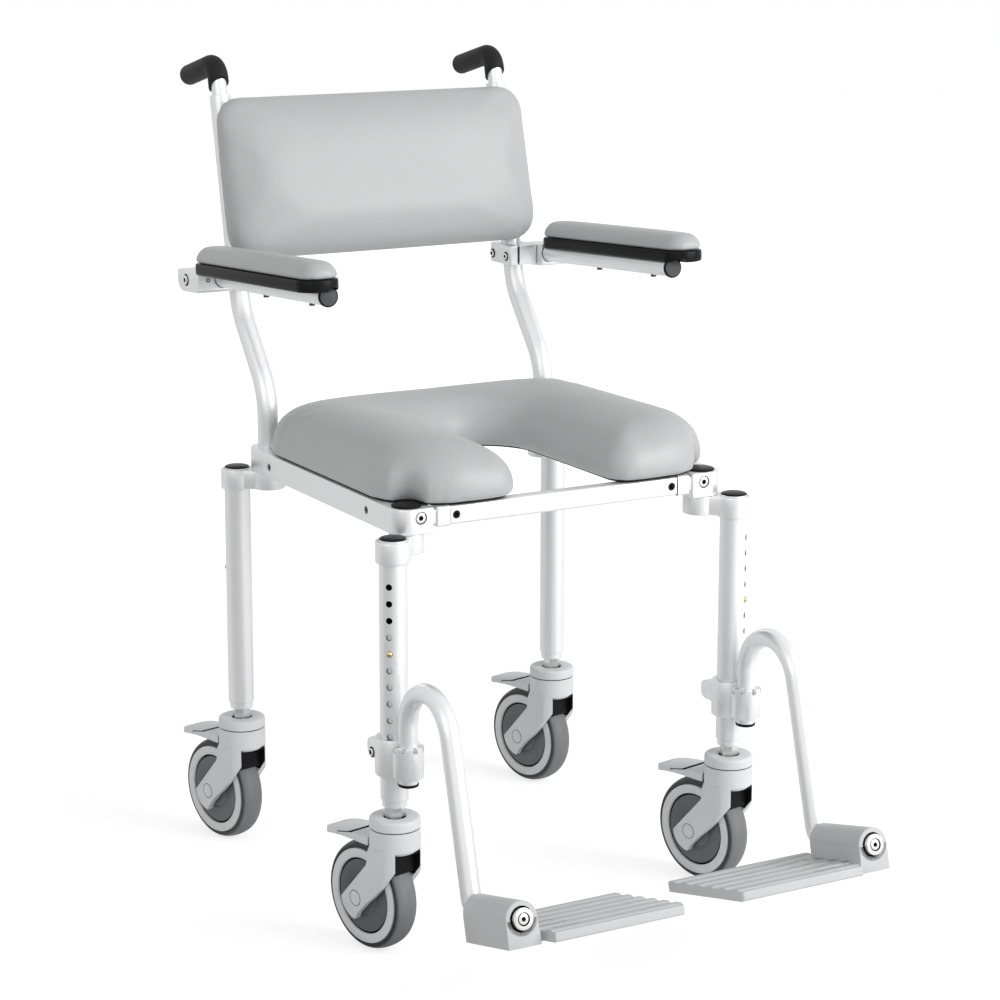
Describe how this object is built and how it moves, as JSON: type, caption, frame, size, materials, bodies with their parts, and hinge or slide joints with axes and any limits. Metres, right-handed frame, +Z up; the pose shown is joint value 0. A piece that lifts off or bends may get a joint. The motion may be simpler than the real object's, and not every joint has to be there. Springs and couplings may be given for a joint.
{
  "type": "mobile shower commode chair",
  "caption": "Wheeled shower commode chair: light tube frame, open-front padded seat, padded back, flip-up armrests, swing-away footrests and braked swivel casters on height-adjustable legs.",
  "frame": {"origin": "on the floor, under the middle of the whole chair's box", "axes": "+Z up, -Y the way the sitter faces, +X the sitter's left"},
  "size_m": [0.5372, 0.9255, 0.9784],
  "materials": {
    "satin_aluminium": "satin",
    "bright_steel": "bright",
    "brass": "polished",
    "grey_plastic": "satin",
    "hub_grey": "matte",
    "tyre_grey": "matte",
    "plate_grey": "matte",
    "black_plastic": "gloss",
    "grip_black": "matte",
    "grey_vinyl": "soft sheen"
  },
  "bodies": {
    "frame": {"leg_bracket_front_left": "satin_aluminium", "leg_tube_front_left": "satin_aluminium", "leg_bracket_front_right": "satin_aluminium", "leg_tube_front_right": "satin_aluminium", "leg_bracket_rear_left": "satin_aluminium", "leg_tube_rear_left": "satin_aluminium", "leg_bracket_rear_right": "satin_aluminium", "leg_tube_rear_right": "satin_aluminium", "side_rail_left": "satin_aluminium", "back_tube_left": "satin_aluminium", "push_grip_left": "grip_black", "armrest_clamp_left": "satin_aluminium", "footrest_clamp_left": "satin_aluminium", "side_rail_right": "satin_aluminium", "back_tube_right": "satin_aluminium", "push_grip_right": "grip_black", "armrest_clamp_right": "satin_aluminium", "footrest_clamp_right": "satin_aluminium", "front_bar": "satin_aluminium", "rear_bar": "satin_aluminium", "seat_board": "black_plastic", "seat_cushion": "grey_vinyl", "back_cushion": "grey_vinyl"},
    "leg_front_left": {"leg_extension_front_left": "satin_aluminium"},
    "button_front_left": {"height_button_front_left": "brass"},
    "caster_front_left": {"caster_fork_front_left": "grey_plastic"},
    "pedal_front_left": {"brake_pedal_front_left": "grey_plastic"},
    "wheel_front_left": {"wheel_hub_front_left": "hub_grey", "wheel_tyre_front_left": "tyre_grey"},
    "leg_front_right": {"leg_extension_front_right": "satin_aluminium"},
    "button_front_right": {"height_button_front_right": "brass"},
    "caster_front_right": {"caster_fork_front_right": "grey_plastic"},
    "pedal_front_right": {"brake_pedal_front_right": "grey_plastic"},
    "wheel_front_right": {"wheel_hub_front_right": "hub_grey", "wheel_tyre_front_right": "tyre_grey"},
    "leg_rear_left": {"leg_extension_rear_left": "satin_aluminium"},
    "button_rear_left": {"height_button_rear_left": "brass"},
    "caster_rear_left": {"caster_fork_rear_left": "grey_plastic"},
    "pedal_rear_left": {"brake_pedal_rear_left": "grey_plastic"},
    "wheel_rear_left": {"wheel_hub_rear_left": "hub_grey", "wheel_tyre_rear_left": "tyre_grey"},
    "leg_rear_right": {"leg_extension_rear_right": "satin_aluminium"},
    "button_rear_right": {"height_button_rear_right": "brass"},
    "caster_rear_right": {"caster_fork_rear_right": "grey_plastic"},
    "pedal_rear_right": {"brake_pedal_rear_right": "grey_plastic"},
    "wheel_rear_right": {"wheel_hub_rear_right": "hub_grey", "wheel_tyre_rear_right": "tyre_grey"},
    "armrest_left": {"armrest_arm_left": "satin_aluminium", "armrest_base_left": "black_plastic", "armrest_pad_left": "grey_vinyl"},
    "footrest_left": {"footrest_tube_left": "satin_aluminium", "footplate_end_cap_left": "bright_steel"},
    "footplate_left": {"footplate_left": "plate_grey"},
    "armrest_right": {"armrest_arm_right": "satin_aluminium", "armrest_base_right": "black_plastic", "armrest_pad_right": "grey_vinyl"},
    "footrest_right": {"footrest_tube_right": "satin_aluminium", "footplate_end_cap_right": "bright_steel"},
    "footplate_right": {"footplate_right": "plate_grey"}
  },
  "joints": [
    {"name": "leg_height_front_left", "type": "slide", "parent": "frame", "child": "leg_front_left", "axis": [0, 0, -1], "range_m": [0, 0.1143]},
    {"name": "height_button_front_left", "type": "slide", "parent": "leg_front_left", "child": "button_front_left", "axis": [-0.7071, 0.7071, 0], "range_m": [0, 0.0055], "stiffness_N_per_m": 500, "springref_m": -0.002},
    {"name": "caster_swivel_front_left", "type": "hinge", "parent": "leg_front_left", "child": "caster_front_left", "pos_m": [0.225, -0.15532, 0.155], "axis": [0, 0, 1], "continuous": true},
    {"name": "wheel_spin_front_left", "type": "hinge", "parent": "caster_front_left", "child": "wheel_front_left", "pos_m": [0.21643, -0.11666, 0.0635], "axis": [0.9763, 0.2164, 0], "continuous": true},
    {"name": "brake_pedal_front_left", "type": "hinge", "parent": "caster_front_left", "child": "pedal_front_left", "pos_m": [0.22045, -0.13482, 0.1395], "axis": [-0.9763, -0.2164, 0], "range_deg": [0, 5]},
    {"name": "leg_height_front_right", "type": "slide", "parent": "frame", "child": "leg_front_right", "axis": [0, 0, -1], "range_m": [0, 0.1143]},
    {"name": "height_button_front_right", "type": "slide", "parent": "leg_front_right", "child": "button_front_right", "axis": [0.7071, 0.7071, 0], "range_m": [0, 0.0055], "stiffness_N_per_m": 500, "springref_m": -0.002},
    {"name": "caster_swivel_front_right", "type": "hinge", "parent": "leg_front_right", "child": "caster_front_right", "pos_m": [-0.225, -0.15532, 0.155], "axis": [0, 0, 1], "continuous": true},
    {"name": "wheel_spin_front_right", "type": "hinge", "parent": "caster_front_right", "child": "wheel_front_right", "pos_m": [-0.23357, -0.11666, 0.0635], "axis": [0.9763, 0.2164, 0], "continuous": true},
    {"name": "brake_pedal_front_right", "type": "hinge", "parent": "caster_front_right", "child": "pedal_front_right", "pos_m": [-0.22955, -0.13482, 0.1395], "axis": [-0.9763, -0.2164, 0], "range_deg": [0, 5]},
    {"name": "leg_height_rear_left", "type": "slide", "parent": "frame", "child": "leg_rear_left", "axis": [0, 0, -1], "range_m": [0, 0.1143]},
    {"name": "height_button_rear_left", "type": "slide", "parent": "leg_rear_left", "child": "button_rear_left", "axis": [-0.7071, -0.7071, 0], "range_m": [0, 0.0055], "stiffness_N_per_m": 500, "springref_m": -0.002},
    {"name": "caster_swivel_rear_left", "type": "hinge", "parent": "leg_rear_left", "child": "caster_rear_left", "pos_m": [0.225, 0.26268, 0.155], "axis": [0, 0, 1], "continuous": true},
    {"name": "wheel_spin_rear_left", "type": "hinge", "parent": "caster_rear_left", "child": "wheel_rear_left", "pos_m": [0.21643, 0.30134, 0.0635], "axis": [0.9763, 0.2164, 0], "continuous": true},
    {"name": "brake_pedal_rear_left", "type": "hinge", "parent": "caster_rear_left", "child": "pedal_rear_left", "pos_m": [0.22045, 0.28318, 0.1395], "axis": [-0.9763, -0.2164, 0], "range_deg": [0, 5]},
    {"name": "leg_height_rear_right", "type": "slide", "parent": "frame", "child": "leg_rear_right", "axis": [0, 0, -1], "range_m": [0, 0.1143]},
    {"name": "height_button_rear_right", "type": "slide", "parent": "leg_rear_right", "child": "button_rear_right", "axis": [0.7071, -0.7071, 0], "range_m": [0, 0.0055], "stiffness_N_per_m": 500, "springref_m": -0.002},
    {"name": "caster_swivel_rear_right", "type": "hinge", "parent": "leg_rear_right", "child": "caster_rear_right", "pos_m": [-0.225, 0.26268, 0.155], "axis": [0, 0, 1], "continuous": true},
    {"name": "wheel_spin_rear_right", "type": "hinge", "parent": "caster_rear_right", "child": "wheel_rear_right", "pos_m": [-0.23357, 0.30134, 0.0635], "axis": [0.9763, 0.2164, 0], "continuous": true},
    {"name": "brake_pedal_rear_right", "type": "hinge", "parent": "caster_rear_right", "child": "pedal_rear_right", "pos_m": [-0.22955, 0.28318, 0.1395], "axis": [-0.9763, -0.2164, 0], "range_deg": [0, 5]},
    {"name": "armrest_flip_left", "type": "hinge", "parent": "frame", "child": "armrest_left", "pos_m": [0.2395, 0.31768, 0.7145], "axis": [-1, 0, 0], "range_deg": [0, 95]},
    {"name": "footrest_swing_left", "type": "hinge", "parent": "frame", "child": "footrest_left", "pos_m": [0.225, -0.18882, 0.24], "axis": [0, 0, 1], "range_deg": [0, 90]},
    {"name": "footplate_flip_left", "type": "hinge", "parent": "footrest_left", "child": "footplate_left", "pos_m": [0.225, -0.33592, 0.1165], "axis": [0, 0.9681, -0.2504], "range_deg": [0, 90]},
    {"name": "armrest_flip_right", "type": "hinge", "parent": "frame", "child": "armrest_right", "pos_m": [-0.2395, 0.31768, 0.7145], "axis": [-1, 0, 0], "range_deg": [0, 95]},
    {"name": "footrest_swing_right", "type": "hinge", "parent": "frame", "child": "footrest_right", "pos_m": [-0.225, -0.18882, 0.24], "axis": [0, 0, -1], "range_deg": [0, 90]},
    {"name": "footplate_flip_right", "type": "hinge", "parent": "footrest_right", "child": "footplate_right", "pos_m": [-0.225, -0.33592, 0.1165], "axis": [0, -0.9681, 0.2504], "range_deg": [0, 90]}
  ]
}
